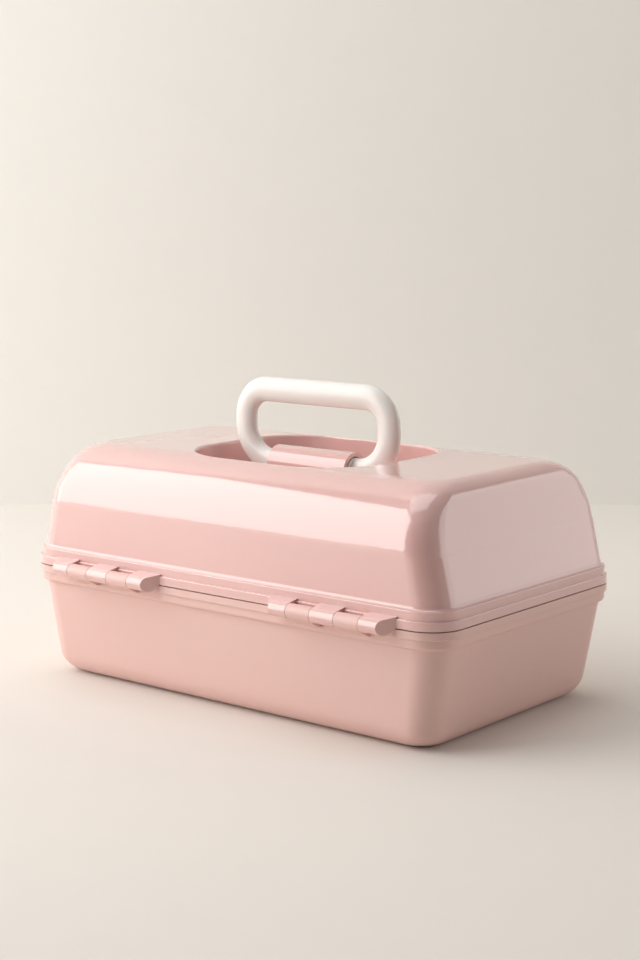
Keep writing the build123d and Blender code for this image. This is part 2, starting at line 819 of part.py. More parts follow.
def lower_tray():
    """Lower tray: three cells, with ears and struts up to its pivots."""
    bottom = lower_tray_bottom
    half_length = lower_tray_half_length
    height = lower_tray_height
    body = tray_tub(half_length, lower_tray_front, lower_tray_back, bottom, height, lower_tray_corner)
    front = lower_tray_front + tray_wall / 2
    back = lower_tray_back - tray_wall / 2
    floor = bottom + tray_wall / 2
    height -= tray_wall / 2
    for x in (-lower_tray_half_length / 3, lower_tray_half_length / 3):
        body += cross_divider(x, front, back, floor, height)
    inner = lower_tray_half_length - tray_wall
    top = bottom + lower_tray_height
    lid_pivot, base_pivot = tray_points(lower_tray_share)
    root_y = lower_tray_back - lower_tray_corner - lower_strut_inset
    root_z = top - lower_strut_inset
    strut = plate_x(
        [(*lid_pivot, lower_ear_half_width), (root_y, root_z, lower_ear_half_width)],
        [],
        inner,
        lower_tray_half_length,
    )
    foot = (base_pivot[0], root_z, lower_ear_half_width)
    ear = plate_x([(*base_pivot, lower_ear_half_width), foot], [], inner, lower_tray_half_length)
    for piece in both_ends(strut) + both_ends(ear):
        body += piece
    return pierce_ends(body, lower_tray_share, lower_tray_half_length)


def latch():
    """Front latch: barrel, plate, snap nib and finger tab."""
    half = latch_width / 2
    barrel = rod_x(latch_y, latch_z, latch_barrel_radius, -half, half)
    outer = latch_y - latch_barrel_radius
    inner = outer + latch_plate
    foot = latch_z - latch_drop
    body = barrel + block(-half, half, outer, inner, foot, latch_z)
    tab = [
        (outer, foot + latch_tab_root),
        (inner, foot + latch_tab_root),
        (inner, foot - latch_tab_drop / 2),
        (outer - latch_tab_reach, foot - latch_tab_drop),
    ]
    body += plate_x([], tab, -half, half)
    nib_tip = -rim_face - catch_reach - nib_clearance
    nib_top = base_top - catch_below_parting - catch_height / 2 - nib_clearance
    nib = [
        (inner - nib_root, nib_top + nib_slope),
        (nib_tip, nib_top),
        (nib_tip, nib_top - nib_height / 2),
        (inner - nib_root, nib_top - nib_height),
    ]
    nib_half = half - nib_end_inset
    body += plate_x([], nib, -nib_half, nib_half)
    body -= rod_x(latch_y, latch_z, latch_pin_radius + running_clearance, -half - overcut, half + overcut)
    return body


def latch_pin():
    end = latch_width / 2 + latch_ear_gap + latch_ear_width
    return rod_x(latch_y, latch_z, latch_pin_radius, -end, end)


def build():
    """All nodes by name."""
    right_lid_arm = lid_arm()
    right_base_arm = base_arm()
    return {
        "base_shell": base_shell(),
        "hinge_pin_left": hinge_pin(0),
        "hinge_pin_right": hinge_pin(1),
        "base_arm_pins": base_arm_pins(),
        "base_arm_washers": base_arm_washers(),
        "lid_shell": lid_shell(),
        "handle_saddle": handle_saddle(),
        "saddle_screws": saddle_screws(),
        "handle": handle(),
        "mirror_frame": mirror_frame(),
        "mirror_glass": mirror_glass(),
        "mirror_tape": mirror_tape(),
        "mirror_screws": mirror_screws(),
        "lid_arm_left": mirror(right_lid_arm, about=Plane.YZ),
        "lid_arm_right": right_lid_arm,
        "lid_arm_screws": lid_arm_screws(),
        "base_arm_left": mirror(right_base_arm, about=Plane.YZ),
        "base_arm_right": right_base_arm,
        "upper_tray": upper_tray(),
        "upper_tray_pins": tray_pins(1.0, upper_tray_half_length - tray_wall),
        "lower_tray": lower_tray(),
        "lower_tray_pins": tray_pins(lower_tray_share, lower_tray_half_length - tray_wall),
        "latch": latch(),
        "latch_pin": latch_pin(),
    }


os.makedirs("parts", exist_ok=True)
for name, shape in build().items():
    export_step(shape, f"parts/{name}.step")
    print(name, len(shape.solids()), round(shape.volume))
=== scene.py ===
import math

import bmesh
import bpy
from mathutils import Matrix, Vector


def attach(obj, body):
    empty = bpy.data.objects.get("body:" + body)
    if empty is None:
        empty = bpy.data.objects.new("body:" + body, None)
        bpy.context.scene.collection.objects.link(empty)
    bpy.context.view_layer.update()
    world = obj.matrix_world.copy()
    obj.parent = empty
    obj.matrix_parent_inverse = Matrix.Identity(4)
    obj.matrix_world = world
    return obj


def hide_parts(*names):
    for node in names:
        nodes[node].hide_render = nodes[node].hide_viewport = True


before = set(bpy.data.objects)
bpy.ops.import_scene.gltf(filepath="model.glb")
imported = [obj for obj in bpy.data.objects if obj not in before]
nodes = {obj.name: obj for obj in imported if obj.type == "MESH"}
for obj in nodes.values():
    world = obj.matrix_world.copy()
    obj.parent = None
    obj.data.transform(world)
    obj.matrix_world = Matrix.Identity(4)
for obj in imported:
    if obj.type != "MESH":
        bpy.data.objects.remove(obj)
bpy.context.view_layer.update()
scene = bpy.context.scene
print("frame loaded:", len(nodes), "nodes")


def srgb(red, green, blue):
    # screen values from 0 to 255 become the linear colour that shaders take
    def one(value):
        value = value / 255
        return value / 12.92 if value <= 0.04045 else ((value + 0.055) / 1.055) ** 2.4

    return (one(red), one(green), one(blue), 1.0)


# camera: the hinge side and one short end, a little from above
cameraView = {
    "azimuth": 219.11,
    "elevation": 8.79,
    "target": (-0.00327, 0.0, 0.13106),
    "distance": 1.1562,
    "lens": 68.6,
    "nearest": 0.02,
    "farthest": 40,
}
azimuth = math.radians(cameraView["azimuth"])
elevation = math.radians(cameraView["elevation"])
back = Vector(
    (
        math.sin(azimuth) * math.cos(elevation),
        -math.cos(azimuth) * math.cos(elevation),
        math.sin(elevation),
    )
)
target = Vector(cameraView["target"])
cameraData = bpy.data.cameras.new("photoCamera")
cameraData.lens = cameraView["lens"]
cameraData.clip_start = cameraView["nearest"]
cameraData.clip_end = cameraView["farthest"]
camera = bpy.data.objects.new("photoCamera", cameraData)
scene.collection.objects.link(camera)
camera.location = target + back * cameraView["distance"]
camera.rotation_mode = "QUATERNION"
camera.rotation_quaternion = (-back).to_track_quat("-Z", "Y")
scene.camera = camera
# along the floor: into the picture, and towards its left edge
away = Vector((-back.x, -back.y, 0)).normalized()
left = Vector((-away.y, away.x, 0))
print("camera placed")


# shared effects, as shader node groups
def newGroup(name, inputs, outputs):
    group = bpy.data.node_groups.new(name, "ShaderNodeTree")
    for label, kind, value in inputs:
        socket = group.interface.new_socket(name=label, in_out="INPUT", socket_type=kind)
        socket.default_value = value
    for label, kind in outputs:
        group.interface.new_socket(name=label, in_out="OUTPUT", socket_type=kind)
    entry = group.nodes.new("NodeGroupInput")
    leave = group.nodes.new("NodeGroupOutput")
    return group, entry, leave


mouldedLook = {
    "driftDetail": 3,
    "scuffTurn": (0.5, 0.3, 0.6),
    "scuffStretch": (900, 26, 40),
    "scuffDetail": 2,
    "scuffFrom": 0.68,
    "scuffTo": 0.8,
    "peelDetail": 2,
    "peelDepth": 0.0002,
    "scatterRadius": (1.0, 0.55, 0.45),
    "scatterScale": 0.004,
}
groupOutputs = [
    ("Colour", "NodeSocketColor"),
    ("Roughness", "NodeSocketFloat"),
    ("Height", "NodeSocketFloat"),
]


def mouldedGroup():
    # moulded plastic: slow drift of colour and gloss, and the faint orange peel of the tool
    group, entry, leave = newGroup(
        "mouldedPlastic",
        [
            ("Colour", "NodeSocketColor", (1, 1, 1, 1)),
            ("Drift", "NodeSocketFloat", 0.03),
            ("Drift Scale", "NodeSocketFloat", 9.0),
            ("Roughness", "NodeSocketFloat", 0.2),
            ("Roughness Drift", "NodeSocketFloat", 0.03),
            ("Peel Scale", "NodeSocketFloat", 260.0),
            ("Scuffs", "NodeSocketFloat", 0.03),
        ],
        groupOutputs,
    )
    make = group.nodes.new
    link = group.links.new
    place = make("ShaderNodeTexCoord")
    drift = make("ShaderNodeTexNoise")
    drift.inputs["Detail"].default_value = mouldedLook["driftDetail"]
    link(place.outputs["Object"], drift.inputs["Vector"])
    link(entry.outputs["Drift Scale"], drift.inputs["Scale"])
    centred = make("ShaderNodeMath")
    centred.operation = "SUBTRACT"
    centred.inputs[1].default_value = 0.5
    link(drift.outputs["Fac"], centred.inputs[0])
    amount = make("ShaderNodeMath")
    amount.operation = "MULTIPLY_ADD"
    amount.inputs[2].default_value = 1.0
    link(centred.outputs[0], amount.inputs[0])
    link(entry.outputs["Drift"], amount.inputs[1])
    tint = make("ShaderNodeHueSaturation")
    link(entry.outputs["Colour"], tint.inputs["Color"])
    link(amount.outputs[0], tint.inputs["Value"])
    link(tint.outputs["Color"], leave.inputs["Colour"])

    # short hairline scuffs, stretched noise turned on the diagonal
    turn = make("ShaderNodeMapping")
    turn.inputs["Rotation"].default_value = mouldedLook["scuffTurn"]
    turn.inputs["Scale"].default_value = mouldedLook["scuffStretch"]
    link(place.outputs["Object"], turn.inputs["Vector"])
    scuff = make("ShaderNodeTexNoise")
    scuff.inputs["Scale"].default_value = 1.0
    scuff.inputs["Detail"].default_value = mouldedLook["scuffDetail"]
    link(turn.outputs["Vector"], scuff.inputs["Vector"])
    thin = make("ShaderNodeMapRange")
    thin.inputs["From Min"].default_value = mouldedLook["scuffFrom"]
    thin.inputs["From Max"].default_value = mouldedLook["scuffTo"]
    link(scuff.outputs["Fac"], thin.inputs["Value"])
    scuffed = make("ShaderNodeMath")
    scuffed.operation = "MULTIPLY"
    link(thin.outputs["Result"], scuffed.inputs[0])
    link(entry.outputs["Scuffs"], scuffed.inputs[1])
    gloss = make("ShaderNodeMath")
    gloss.operation = "MULTIPLY_ADD"
    link(centred.outputs[0], gloss.inputs[0])
    link(entry.outputs["Roughness Drift"], gloss.inputs[1])
    link(entry.outputs["Roughness"], gloss.inputs[2])
    both = make("ShaderNodeMath")
    both.operation = "ADD"
    both.use_clamp = True
    link(gloss.outputs[0], both.inputs[0])
    link(scuffed.outputs[0], both.inputs[1])
    link(both.outputs[0], leave.inputs["Roughness"])

    peel = make("ShaderNodeTexNoise")
    peel.inputs["Detail"].default_value = mouldedLook["peelDetail"]
    link(place.outputs["Object"], peel.inputs["Vector"])
    link(entry.outputs["Peel Scale"], peel.inputs["Scale"])
    link(peel.outputs["Fac"], leave.inputs["Height"])
    return group


brushedLook = {
    "stretch": (1.0, 0.02, 1.0),
    "lineDetail": 2,
    "lineRoughness": 0.16,
    "lineBump": 0.05,
    "lineDepth": 0.0001,
    "patchScale": 60,
    "patchDark": 0.88,
    "patchPale": 1.08,
}


def brushedGroup():
    # drawn steel strip: fine lines along Y, with dull patches
    group, entry, leave = newGroup(
        "brushedSteel",
        [
            ("Colour", "NodeSocketColor", (1, 1, 1, 1)),
            ("Roughness", "NodeSocketFloat", 0.3),
            ("Line Scale", "NodeSocketFloat", 1800.0),
        ],
        groupOutputs,
    )
    make = group.nodes.new
    link = group.links.new
    place = make("ShaderNodeTexCoord")
    stretch = make("ShaderNodeMapping")
    stretch.inputs["Scale"].default_value = brushedLook["stretch"]
    link(place.outputs["Object"], stretch.inputs["Vector"])
    lines = make("ShaderNodeTexNoise")
    lines.inputs["Detail"].default_value = brushedLook["lineDetail"]
    link(stretch.outputs["Vector"], lines.inputs["Vector"])
    link(entry.outputs["Line Scale"], lines.inputs["Scale"])
    patch = make("ShaderNodeTexNoise")
    patch.inputs["Scale"].default_value = brushedLook["patchScale"]
    link(place.outputs["Object"], patch.inputs["Vector"])
    value = make("ShaderNodeMapRange")
    value.inputs["To Min"].default_value = brushedLook["patchDark"]
    value.inputs["To Max"].default_value = brushedLook["patchPale"]
    link(patch.outputs["Fac"], value.inputs["Value"])
    tint = make("ShaderNodeHueSaturation")
    link(entry.outputs["Colour"], tint.inputs["Color"])
    link(value.outputs["Result"], tint.inputs["Value"])
    link(tint.outputs["Color"], leave.inputs["Colour"])
    rough = make("ShaderNodeMath")
    rough.operation = "MULTIPLY_ADD"
    rough.inputs[1].default_value = brushedLook["lineRoughness"]
    link(lines.outputs["Fac"], rough.inputs[0])
    link(entry.outputs["Roughness"], rough.inputs[2])
    link(rough.outputs[0], leave.inputs["Roughness"])
    link(lines.outputs["Fac"], leave.inputs["Height"])
    return group


moulded = mouldedGroup()
brushed = brushedGroup()


def newMaterial(name):
    material = bpy.data.materials.new(name)
    material.use_nodes = True
    tree = material.node_tree
    return material, tree, tree.nodes["Principled BSDF"]


def pickSocket(sockets, kind, name=None):
    # a node that takes several kinds of data has a socket of the same name for each
    return [item for item in sockets if item.type == kind and name in (None, item.name)][0]


def addBump(tree, shader, height, strength, distance):
    bump = tree.nodes.new("ShaderNodeBump")
    bump.inputs["Strength"].default_value = strength
    bump.inputs["Distance"].default_value = distance
    tree.links.new(height, bump.inputs["Height"])
    tree.links.new(bump.outputs["Normal"], shader.inputs["Normal"])


def plasticMaterial(name, look):
    material, tree, shader = newMaterial(name)
    group = tree.nodes.new("ShaderNodeGroup")
    group.node_tree = moulded
    group.inputs["Colour"].default_value = look["colour"]
    group.inputs["Drift"].default_value = look["drift"]
    group.inputs["Roughness"].default_value = look["roughness"]
    group.inputs["Roughness Drift"].default_value = look["roughnessDrift"]
    group.inputs["Peel Scale"].default_value = look["peelScale"]
    group.inputs["Scuffs"].default_value = look["scuffs"]
    tree.links.new(group.outputs["Colour"], shader.inputs["Base Color"])
    tree.links.new(group.outputs["Roughness"], shader.inputs["Roughness"])
    shader.inputs["IOR"].default_value = look["ior"]
    shader.inputs["Coat Weight"].default_value = look["coat"]
    shader.inputs["Coat Roughness"].default_value = look["coatRoughness"]
    shader.inputs["Subsurface Weight"].default_value = look["translucence"]
    shader.inputs["Subsurface Radius"].default_value = mouldedLook["scatterRadius"]
    shader.inputs["Subsurface Scale"].default_value = mouldedLook["scatterScale"]
    addBump(tree, shader, group.outputs["Height"], look["peel"], mouldedLook["peelDepth"])
    return material


lidPlastic = plasticMaterial(
    "lidPlastic",
    {
        "colour": srgb(230, 187, 182),
        "drift": 0.05,
        "roughness": 0.16,
        "roughnessDrift": 0.05,
        "peelScale": 110,
        "peel": 0.005,
        "scuffs": 0.05,
        "ior": 1.55,
        "coat": 0.9,
        "coatRoughness": 0.04,
        "translucence": 0.15,
    },
)
basePlastic = plasticMaterial(
    "basePlastic",
    {
        "colour": srgb(231, 193, 185),
        "drift": 0.05,
        "roughness": 0.36,
        "roughnessDrift": 0.06,
        "peelScale": 900,
        "peel": 0.08,
        "scuffs": 0.08,
        "ior": 1.49,
        "coat": 0.0,
        "coatRoughness": 0.1,
        "translucence": 0.15,
    },
)
handlePlastic = plasticMaterial(
    "handlePlastic",
    {
        "colour": srgb(236, 233, 228),
        "drift": 0.03,
        "roughness": 0.24,
        "roughnessDrift": 0.05,
        "peelScale": 180,
        "peel": 0.02,
        "scuffs": 0.05,
        "ior": 1.5,
        "coat": 0.3,
        "coatRoughness": 0.08,
        "translucence": 0.6,
    },
)
trayPlastic = plasticMaterial(
    "trayPlastic",
    {
        "colour": srgb(234, 196, 186),
        "drift": 0.05,
        "roughness": 0.38,
        "roughnessDrift": 0.08,
        "peelScale": 700,
        "peel": 0.06,
        "scuffs": 0.12,
        "ior": 1.49,
        "coat": 0.0,
        "coatRoughness": 0.1,
        "translucence": 0.25,
    },
)


def steelMaterial():
    look = {"colour": (0.56, 0.56, 0.57, 1.0), "roughness": 0.26, "lineScale": 1800.0}
    material, tree, shader = newMaterial("stripSteel")
    group = tree.nodes.new("ShaderNodeGroup")
    group.node_tree = brushed
    group.inputs["Colour"].default_value = look["colour"]
    group.inputs["Roughness"].default_value = look["roughness"]
    group.inputs["Line Scale"].default_value = look["lineScale"]
    tree.links.new(group.outputs["Colour"], shader.inputs["Base Color"])
    tree.links.new(group.outputs["Roughness"], shader.inputs["Roughness"])
    shader.inputs["Metallic"].default_value = 1.0
    addBump(tree, shader, group.outputs["Height"], brushedLook["lineBump"], brushedLook["lineDepth"])
    return material


def mirrorMaterial():
    # silvered glass with faint wiped smears
    look = {
        "colour": (0.9, 0.92, 0.92, 1.0),
        "smearScale": 22.0,
        "smearDetail": 4,
        "smearStretch": (1.0, 3.0, 1.0),
        "smearTurn": (0.0, 0.0, 0.5),
        "smearFrom": 0.45,
        "smearTo": 0.8,
        "smearDark": 0.94,
        "cleanRoughness": 0.01,
        "smearRoughness": 0.06,
    }
    material, tree, shader = newMaterial("silveredGlass")
    place = tree.nodes.new("ShaderNodeTexCoord")
    stretch = tree.nodes.new("ShaderNodeMapping")
    stretch.inputs["Scale"].default_value = look["smearStretch"]
    stretch.inputs["Rotation"].default_value = look["smearTurn"]
    smear = tree.nodes.new("ShaderNodeTexNoise")
    smear.inputs["Scale"].default_value = look["smearScale"]
    smear.inputs["Detail"].default_value = look["smearDetail"]
    spread = tree.nodes.new("ShaderNodeMapRange")
    spread.inputs["From Min"].default_value = look["smearFrom"]
    spread.inputs["From Max"].default_value = look["smearTo"]
    spread.inputs["To Min"].default_value = look["cleanRoughness"]
    spread.inputs["To Max"].default_value = look["smearRoughness"]
    tint = tree.nodes.new("ShaderNodeHueSaturation")
    tint.inputs["Color"].default_value = look["colour"]
    darker = tree.nodes.new("ShaderNodeMapRange")
    darker.inputs["To Min"].default_value = 1.0
    darker.inputs["To Max"].default_value = look["smearDark"]
    link = tree.links.new
    link(place.outputs["Object"], stretch.inputs["Vector"])
    link(stretch.outputs["Vector"], smear.inputs["Vector"])
    link(smear.outputs["Fac"], spread.inputs["Value"])
    link(spread.outputs["Result"], shader.inputs["Roughness"])
    link(smear.outputs["Fac"], darker.inputs["Value"])
    link(darker.outputs["Result"], tint.inputs["Value"])
    link(tint.outputs["Color"], shader.inputs["Base Color"])
    shader.inputs["Metallic"].default_value = 1.0
    return material


def foamMaterial():
    # closed-cell foam tape
    look = {
        "pale": (0.82, 0.81, 0.78, 1.0),
        "deep": (0.6, 0.58, 0.55, 1.0),
        "cellScale": 1600.0,
        "cellBump": 0.4,
        "cellDepth": 0.0003,
        "roughness": 0.85,
    }
    material, tree, shader = newMaterial("foamTape")
    place = tree.nodes.new("ShaderNodeTexCoord")
    cells = tree.nodes.new("ShaderNodeTexVoronoi")
    cells.inputs["Scale"].default_value = look["cellScale"]
    mix = tree.nodes.new("ShaderNodeMix")
    mix.data_type = "RGBA"
    for label, colour in (("A", look["pale"]), ("B", look["deep"])):
        pickSocket(mix.inputs, "RGBA", label).default_value = colour
    mixed = pickSocket(mix.outputs, "RGBA")
    tree.links.new(place.outputs["Object"], cells.inputs["Vector"])
    tree.links.new(cells.outputs["Distance"], mix.inputs["Factor"])
    tree.links.new(mixed, shader.inputs["Base Color"])
    shader.inputs["Roughness"].default_value = look["roughness"]
    addBump(tree, shader, cells.outputs["Distance"], look["cellBump"], look["cellDepth"])
    return material


stripSteel = steelMaterial()
silveredGlass = mirrorMaterial()
foamTape = foamMaterial()
print("materials made")

# finishes of the CAD nodes that stay as they are
finishes = {
    "base_shell": basePlastic,
    "hinge_pin_left": stripSteel,
    "hinge_pin_right": stripSteel,
    "base_arm_pins": stripSteel,
    "base_arm_washers": stripSteel,
    "lid_shell": lidPlastic,
    "handle_saddle": lidPlastic,
    "saddle_screws": stripSteel,
    "handle": handlePlastic,
    "mirror_frame": trayPlastic,
    "mirror_glass": silveredGlass,
    "mirror_tape": foamTape,
    "mirror_screws": stripSteel,
    "lid_arm_left": stripSteel,
    "lid_arm_right": stripSteel,
    "lid_arm_screws": stripSteel,
    "base_arm_left": stripSteel,
    "base_arm_right": stripSteel,
    "upper_tray": trayPlastic,
    "upper_tray_pins": stripSteel,
    "lower_tray": trayPlastic,
    "lower_tray_pins": stripSteel,
    "latch": lidPlastic,
    "latch_pin": stripSteel,
}
for name, material in finishes.items():
    slots = nodes[name].data.materials
    slots.clear()
    slots.append(material)
print("finishes on", len(finishes), "nodes")


# screws and rivets: one Geometry Nodes tree, spread over the places of the CAD solids
# head: the share of the CAD head's radius at its outer rim and at its neck
screwHead = {"rim": 1.0, "neck": 0.49, "cross": True}
panHead = {"rim": 0.9, "neck": 1.0, "cross": True}
rivetHead = {"rim": 0.8, "neck": 1.0, "cross": False}
fastenerSets = [
    {"node": "mirror_screws", "body": "lid", "shank": "up", "head": screwHead, "seed": 3},
    {"node": "saddle_screws", "body": "lid", "shank": "up", "head": screwHead, "seed": 11},
    {"node": "lid_arm_screws", "body": "lid", "shank": "outwards", "head": panHead, "seed": 5},
    {"node": "upper_tray_pins", "body": "upper_tray", "shank": "inwards", "head": rivetHead, "seed": 7},
    {"node": "lower_tray_pins", "body": "lower_tray", "shank": "inwards", "head": rivetHead, "seed": 9},
]
fastener = {
    "screwHeight": 0.0017,
    "screwShank": 0.0014,
    "rivetHeight": 0.001,
    "rivetShank": 0.002,
    "recessWidth": 0.0009,
    "recessReach": 0.0018,
    "recessDepth": 0.0009,
    "sides": 40,
    "smoothAngle": 32,
    "sameCorner": 0.00001,
    "samePoint": 0.000002,
}


def solidBoxes(node):
    # lowest and highest corners of each separate solid of a CAD node
    work = bmesh.new()
    work.from_mesh(node.data)
    work.transform(node.matrix_world)
    bmesh.ops.remove_doubles(work, verts=work.verts, dist=fastener["sameCorner"])
    seen = set()
    boxes = []
    for start in work.verts:
        if start in seen:
            continue
        queue = [start]
        seen.add(start)
        corners = []
        while queue:
            vert = queue.pop()
            corners.append(vert.co.copy())
            for edge in vert.link_edges:
                other = edge.other_vert(vert)
                if other not in seen:
                    seen.add(other)
                    queue.append(other)
        low = Vector([min(corner[axis] for corner in corners) for axis in range(3)])
        high = Vector([max(corner[axis] for corner in corners) for axis in range(3)])
        boxes.append((low, high))
    work.free()
    return boxes


def fastenerTree():
    tree = bpy.data.node_groups.new("fasteners", "GeometryNodeTree")
    socket = tree.interface.new_socket
    inputs = [
        ("Geometry", "NodeSocketGeometry"),
        ("Head Radius", "NodeSocketFloat"),
        ("Rim Share", "NodeSocketFloat"),
        ("Neck Share", "NodeSocketFloat"),
        ("Head Height", "NodeSocketFloat"),
        ("Shank Radius", "NodeSocketFloat"),
        ("Length", "NodeSocketFloat"),
        ("Recess Width", "NodeSocketFloat"),
        ("Recess Reach", "NodeSocketFloat"),
        ("Recess Depth", "NodeSocketFloat"),
        ("Cross", "NodeSocketBool"),
        ("Sides", "NodeSocketInt"),
        ("Seed", "NodeSocketInt"),
        ("Material", "NodeSocketMaterial"),
    ]
    for label, kind in inputs:
        socket(name=label, in_out="INPUT", socket_type=kind)
    socket(name="Geometry", in_out="OUTPUT", socket_type="NodeSocketGeometry")
    make = tree.nodes.new
    link = tree.links.new
    entry = make("NodeGroupInput").outputs
    leave = make("NodeGroupOutput")

    def feed(node, values):
        for socketIn, value in zip(node.inputs, values):
            if isinstance(value, (int, float)):
                socketIn.default_value = value
            else:
                link(value, socketIn)
        return node.outputs[0]

    def maths(operation, first, second):
        node = make("ShaderNodeMath")
        node.operation = operation
        return feed(node, (first, second))

    def vector(x, y, z):
        return feed(make("ShaderNodeCombineXYZ"), (x, y, z))

    head = make("GeometryNodeMeshCone")
    link(entry["Sides"], head.inputs["Vertices"])
    link(maths("MULTIPLY", entry["Head Radius"], entry["Neck Share"]), head.inputs["Radius Top"])
    link(maths("MULTIPLY", entry["Head Radius"], entry["Rim Share"]), head.inputs["Radius Bottom"])
    link(entry["Head Height"], head.inputs["Depth"])
    longSide = maths("MULTIPLY", entry["Recess Reach"], 2)
    deep = maths("MULTIPLY", entry["Recess Depth"], 2)
    barAlong = make("GeometryNodeMeshCube")
    link(vector(longSide, entry["Recess Width"], deep), barAlong.inputs["Size"])
    barAcross = make("GeometryNodeMeshCube")
    link(vector(entry["Recess Width"], longSide, deep), barAcross.inputs["Size"])
    cut = make("GeometryNodeMeshBoolean")
    cut.operation = "DIFFERENCE"
    cut.solver = "EXACT"
    link(head.outputs["Mesh"], cut.inputs["Mesh 1"])
    link(barAlong.outputs["Mesh"], cut.inputs["Mesh 2"])
    link(barAcross.outputs["Mesh"], cut.inputs["Mesh 2"])
    pick = make("GeometryNodeSwitch")
    pick.input_type = "GEOMETRY"
    link(entry["Cross"], pick.inputs["Switch"])
    link(head.outputs["Mesh"], pick.inputs["False"])
    link(cut.outputs["Mesh"], pick.inputs["True"])

    shankLength = maths("SUBTRACT", entry["Length"], entry["Head Height"])
    shank = make("GeometryNodeMeshCylinder")
    link(entry["Sides"], shank.inputs["Vertices"])
    link(entry["Shank Radius"], shank.inputs["Radius"])
    link(shankLength, shank.inputs["Depth"])
    lift = make("GeometryNodeTransform")
    link(shank.outputs["Mesh"], lift.inputs["Geometry"])
    middle = maths("ADD", maths("MULTIPLY", shankLength, 0.5), entry["Head Height"])
    link(vector(0, 0, middle), lift.inputs["Translation"])
    join = make("GeometryNodeJoinGeometry")
    link(pick.outputs[0], join.inputs[0])
    link(lift.outputs[0], join.inputs[0])

    way = make("GeometryNodeInputNamedAttribute")
    way.data_type = "FLOAT_VECTOR"
    way.inputs["Name"].default_value = "way"
    align = make("FunctionNodeAlignRotationToVector")
    align.axis = "Z"
    link(way.outputs["Attribute"], align.inputs["Vector"])
    spin = make("FunctionNodeRandomValue")
    spin.data_type = "FLOAT"
    pickSocket(spin.inputs, "VALUE", "Max").default_value = math.tau
    link(entry["Seed"], spin.inputs["Seed"])
    spun = pickSocket(spin.outputs, "VALUE")
    rotate = make("FunctionNodeRotateRotation")
    rotate.rotation_space = "LOCAL"
    link(align.outputs["Rotation"], rotate.inputs["Rotation"])
    link(vector(0, 0, spun), rotate.inputs["Rotate By"])
    spread = make("GeometryNodeInstanceOnPoints")
    link(entry["Geometry"], spread.inputs["Points"])
    link(join.outputs[0], spread.inputs["Instance"])
    link(rotate.outputs["Rotation"], spread.inputs["Rotation"])
    real = make("GeometryNodeRealizeInstances")
    finish = make("GeometryNodeSetMaterial")
    link(spread.outputs["Instances"], real.inputs["Geometry"])
    link(real.outputs["Geometry"], finish.inputs["Geometry"])
    link(entry["Material"], finish.inputs["Material"])
    link(finish.outputs["Geometry"], leave.inputs["Geometry"])
    return tree


def runTree(name, mesh, tree, values):
    # one evaluated mesh from a Geometry Nodes tree, with no modifier left on it
    piece = bpy.data.objects.new(name, mesh)
    scene.collection.objects.link(piece)
    modifier = piece.modifiers.new(name, "NODES")
    modifier.node_group = tree
    for item in tree.interface.items_tree:
        if item.in_out == "INPUT" and item.name in values:
            modifier[item.identifier] = values[item.name]
    piece.update_tag()
    bpy.context.view_layer.update()
    graph = bpy.context.evaluated_depsgraph_get()
    made = bpy.data.meshes.new_from_object(piece.evaluated_get(graph))
    piece.modifiers.clear()
    piece.data = made
    work = bmesh.new()
    work.from_mesh(made)
    bmesh.ops.remove_doubles(work, verts=work.verts, dist=fastener["samePoint"])
    bmesh.ops.recalc_face_normals(work, faces=work.faces)
    work.to_mesh(made)
    work.free()
    return piece


def fastenerPlaces(boxes, shank):
    # where each head's outer face is, which way its shank points, and its length and head radius
    places = []
    ways = []
    for low, high in boxes:
        centre = (low + high) / 2
        side = 1 if centre.x > 0 else -1
        if shank == "up":
            places.append((centre.x, centre.y, low.z))
            ways.append((0, 0, 1))
            length = high.z - low.z
            headRadius = (high.x - low.x) / 2
        else:
            outwards = shank == "outwards"
            headAtHigh = (side > 0) != outwards
            places.append((high.x if headAtHigh else low.x, centre.y, centre.z))
            ways.append((side if outwards else -side, 0, 0))
            length = high.x - low.x
            headRadius = (high.z - low.z) / 2
    return places, ways, length, headRadius


fasteners = fastenerTree()
for spec in fastenerSets:
    node = spec["node"]
    head = spec["head"]
    kind = "screw" if head["cross"] else "rivet"
    places, ways, length, headRadius = fastenerPlaces(solidBoxes(nodes[node]), spec["shank"])
    mesh = bpy.data.meshes.new(node + "Places")
    mesh.from_pydata(places, [], [])
    attribute = mesh.attributes.new("way", "FLOAT_VECTOR", "POINT")
    for index, direction in enumerate(ways):
        attribute.data[index].vector = direction
    values = {
        "Head Radius": headRadius,
        "Rim Share": head["rim"],
        "Neck Share": head["neck"],
        "Head Height": fastener[kind + "Height"],
        "Shank Radius": fastener[kind + "Shank"],
        "Length": length,
        "Recess Width": fastener["recessWidth"],
        "Recess Reach": fastener["recessReach"],
        "Recess Depth": fastener["recessDepth"],
        "Cross": head["cross"],
        "Sides": fastener["sides"],
        "Seed": spec["seed"],
        "Material": stripSteel,
    }
    piece = runTree(node + "Shown", mesh, fasteners, values)
    piece.data.shade_smooth()
    piece.data.set_sharp_from_angle(angle=math.radians(fastener["smoothAngle"]))
    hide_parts(spec["node"])
    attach(piece, spec["body"])
    print(node, "shown by", len(places), "fasteners,", len(piece.data.polygons), "faces")


# studio: floor, wall and soft lamps
studio = {
    "floorColour": srgb(230, 224, 217),
    "wallColour": srgb(241, 238, 232),
    "wallBehind": 0.683,
    "wallHeight": 4.0,
    "reach": 6.0,
    "paper": {"grainScale": 30, "grainDetail": 4, "dark": 0.99, "pale": 1.01, "roughness": 0.75},
}
# the dark end of the room behind the camera, which only reflections and soft light meet
shade = {
    "colour": srgb(70, 52, 44),
    "distance": 2.3,
    "halfWidth": 2.2,
    "height": 2.6,
    "paper": {"grainScale": 8, "grainDetail": 2, "dark": 0.8, "pale": 1.2, "roughness": 0.9},
}


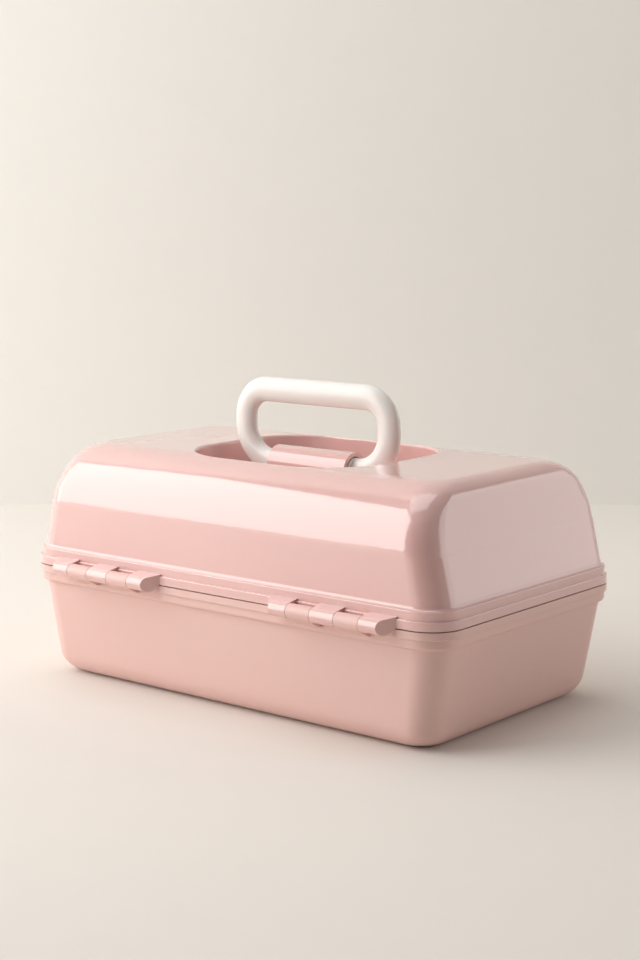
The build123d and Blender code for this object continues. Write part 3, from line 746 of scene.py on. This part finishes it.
def quad(name, corners, material):
    mesh = bpy.data.meshes.new(name)
    mesh.from_pydata([tuple(corner) for corner in corners], [], [(0, 1, 2, 3)])
    mesh.materials.append(material)
    sheet = bpy.data.objects.new(name, mesh)
    scene.collection.objects.link(sheet)


def standing(foot, side, height):
    # corners of an upright sheet, in turn from the lower left of its front
    up = Vector((0, 0, height))
    return [foot + side, foot - side, foot - side + up, foot + side + up]


def paperMaterial(name, colour, paper, clearFrom=None):
    # grained paper, see-through from behind or to the camera where that is asked
    material, tree, shader = newMaterial(name)
    make = tree.nodes.new
    link = tree.links.new
    place = make("ShaderNodeTexCoord")
    grain = make("ShaderNodeTexNoise")
    grain.inputs["Scale"].default_value = paper["grainScale"]
    grain.inputs["Detail"].default_value = paper["grainDetail"]
    value = make("ShaderNodeMapRange")
    value.inputs["To Min"].default_value = paper["dark"]
    value.inputs["To Max"].default_value = paper["pale"]
    tint = make("ShaderNodeHueSaturation")
    tint.inputs["Color"].default_value = colour
    shader.inputs["Roughness"].default_value = paper["roughness"]
    link(place.outputs["Object"], grain.inputs["Vector"])
    link(grain.outputs["Fac"], value.inputs["Value"])
    link(value.outputs["Result"], tint.inputs["Value"])
    link(tint.outputs["Color"], shader.inputs["Base Color"])
    if clearFrom:
        facts = {
            "behind": ("ShaderNodeNewGeometry", "Backfacing"),
            "camera": ("ShaderNodeLightPath", "Is Camera Ray"),
        }
        kind, output = facts[clearFrom]
        clear = make("ShaderNodeBsdfTransparent")
        mix = make("ShaderNodeMixShader")
        link(make(kind).outputs[output], mix.inputs[0])
        link(shader.outputs[0], mix.inputs[1])
        link(clear.outputs[0], mix.inputs[2])
        link(mix.outputs[0], tree.nodes["Material Output"].inputs["Surface"])
    return material


reach = studio["reach"]
quad(
    "floor",
    [(-reach, -reach, 0), (reach, -reach, 0), (reach, reach, 0), (-reach, reach, 0)],
    paperMaterial("floorPaper", studio["floorColour"], studio["paper"]),
)
quad(
    "wall",
    standing(away * studio["wallBehind"], left * reach, studio["wallHeight"]),
    paperMaterial("wallPaper", studio["wallColour"], studio["paper"], "behind"),
)
quad(
    "roomShade",
    standing(away * -shade["distance"], left * -shade["halfWidth"], shade["height"]),
    paperMaterial("roomShade", shade["colour"], shade["paper"], "camera"),
)

# each lamp: steps to the left, away from the camera and up, its width and height, and its power
lamps = {
    "softboxLeft": {
        "at": (1.35, -0.1, 0.74),
        "size": (1.35, 1.6),
        "power": 24,
        "colour": (1.0, 0.995, 0.985),
    },
    "topLamp": {
        "at": (0.3, 0.1, 1.9),
        "size": (1.4, 1.4),
        "power": 10.5,
        "colour": (1.0, 1.0, 0.99),
    },
    "cardRight": {
        "at": (-1.5, 0.3, 0.44),
        "size": (1.9, 0.95),
        "power": 8.2,
        "colour": (1.0, 1.0, 1.0),
    },
}
lampAim = Vector((0, 0, 0.09))
room = {"colour": srgb(243, 240, 236), "strength": 0.31}


def addLamp(name, spec):
    data = bpy.data.lights.new(name, "AREA")
    data.shape = "RECTANGLE"
    data.size, data.size_y = spec["size"]
    data.energy = spec["power"]
    data.color = spec["colour"]
    lamp = bpy.data.objects.new(name, data)
    scene.collection.objects.link(lamp)
    across, deep, up = spec["at"]
    lamp.location = left * across + away * deep + Vector((0, 0, up))
    toCase = lampAim - lamp.location
    lamp.rotation_mode = "QUATERNION"
    lamp.rotation_quaternion = toCase.to_track_quat("-Z", "Y")


for name, spec in lamps.items():
    addLamp(name, spec)

world = bpy.data.worlds.new("room")
scene.world = world
world.use_nodes = True
worldLook = world.node_tree.nodes["Background"]
worldLook.inputs["Color"].default_value = room["colour"]
worldLook.inputs["Strength"].default_value = room["strength"]

scene.view_settings.view_transform = "Standard"
print("studio lit")
